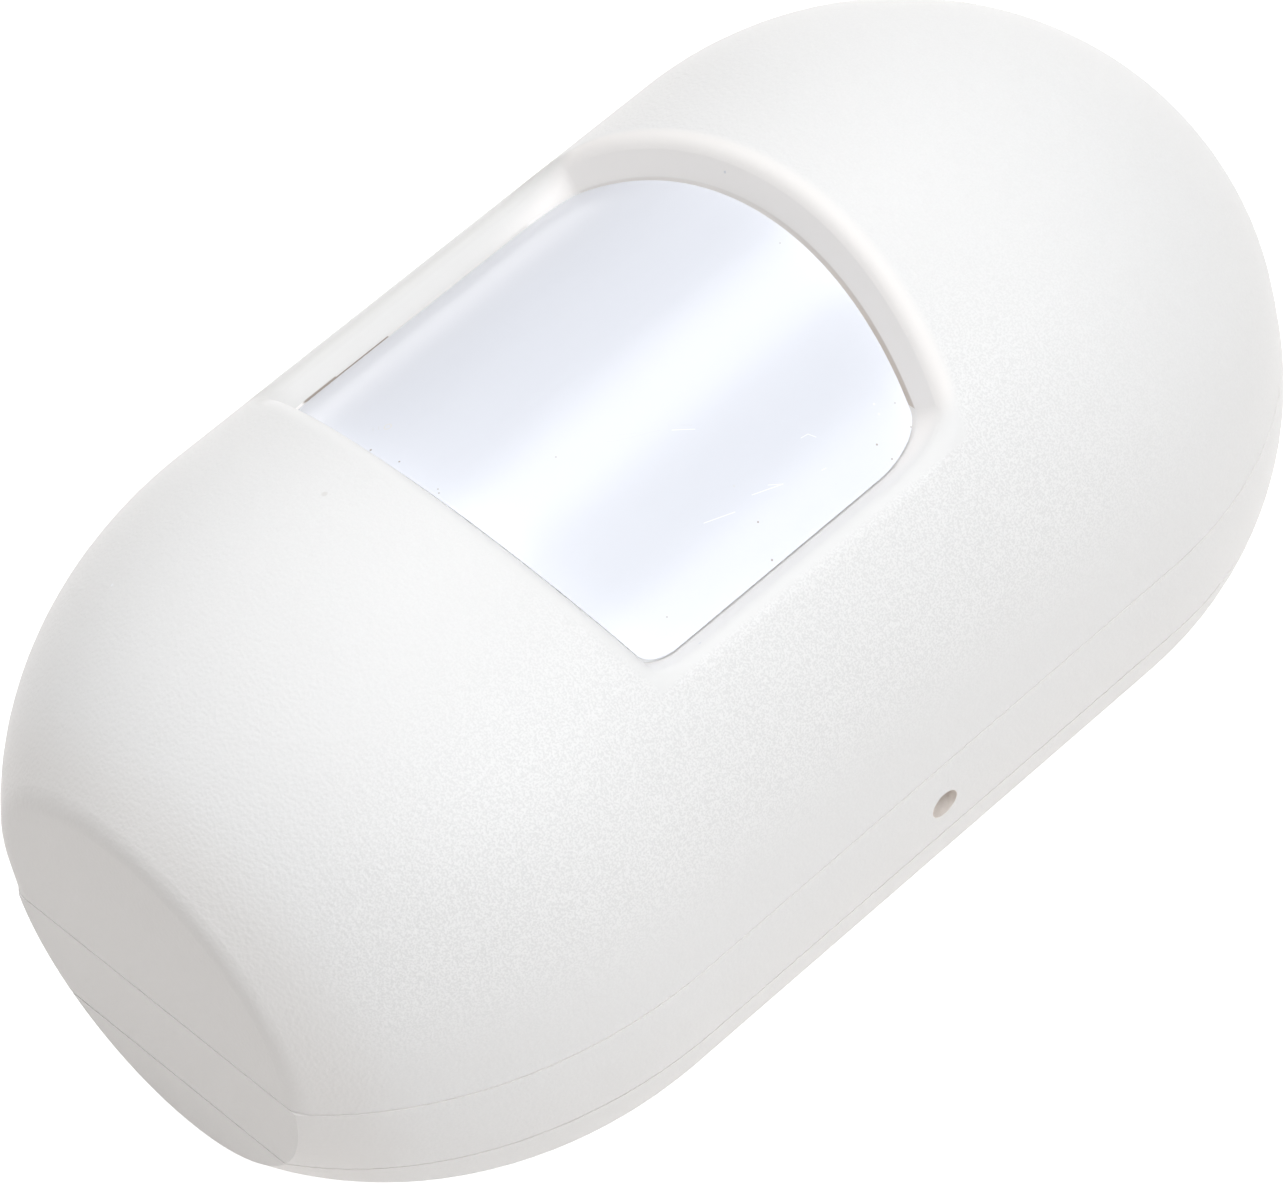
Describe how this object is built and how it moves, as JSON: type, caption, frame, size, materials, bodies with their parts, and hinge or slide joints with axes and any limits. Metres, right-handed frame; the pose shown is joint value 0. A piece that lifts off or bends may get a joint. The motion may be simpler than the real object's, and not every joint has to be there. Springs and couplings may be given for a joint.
{
  "type": "pir motion sensor",
  "caption": "Wall-hung passive infrared motion sensor: rounded white case with a recessed curved lens window, on a back housing and wall plate.",
  "frame": {"origin": "centre of the flat back, in the wall plane", "axes": "+Z out of the wall through the lens, +Y towards the top end as hung, +X to the right as seen from the front"},
  "size_m": [0.06, 0.1078, 0.045],
  "materials": {
    "shell": "fine spark-eroded grain, warm white",
    "lens": "smooth, milky, cool white",
    "frame_plastic": "plain moulded white",
    "board": "green solder mask",
    "can_metal": "bright plated steel",
    "filter": "dark coated window",
    "cell": "satin sleeve",
    "contact_metal": "nickel plated",
    "lamp": "red diffused",
    "chip": "black moulded epoxy",
    "ceramic": "fired ceramic",
    "can_aluminium": "drawn can",
    "wire": "enamelled wire",
    "screw_steel": "zinc plated"
  },
  "bodies": {
    "root": {"front_cover": "shell", "back_housing": "shell", "mounting_plate": "shell", "fresnel_lens": "lens", "lens_retainer": "frame_plastic", "main_board": "board", "sensor_can": "can_metal", "sensor_collar": "frame_plastic", "sensor_filter": "filter", "sensor_leads": "contact_metal", "battery": "cell", "battery_cradle": "chip", "positive_contact": "contact_metal", "negative_contact": "contact_metal", "indicator_lamp": "lamp", "controller_chip": "chip", "timing_crystal": "can_metal", "smoothing_capacitor": "can_aluminium", "ceramic_capacitors": "ceramic", "chip_resistors": "chip", "radio_board": "board", "radio_shield": "can_metal", "antenna_wire": "wire", "setting_header": "chip", "setting_jumper": "chip", "board_screws": "screw_steel", "plate_screws": "screw_steel"}
  },
  "joints": []
}
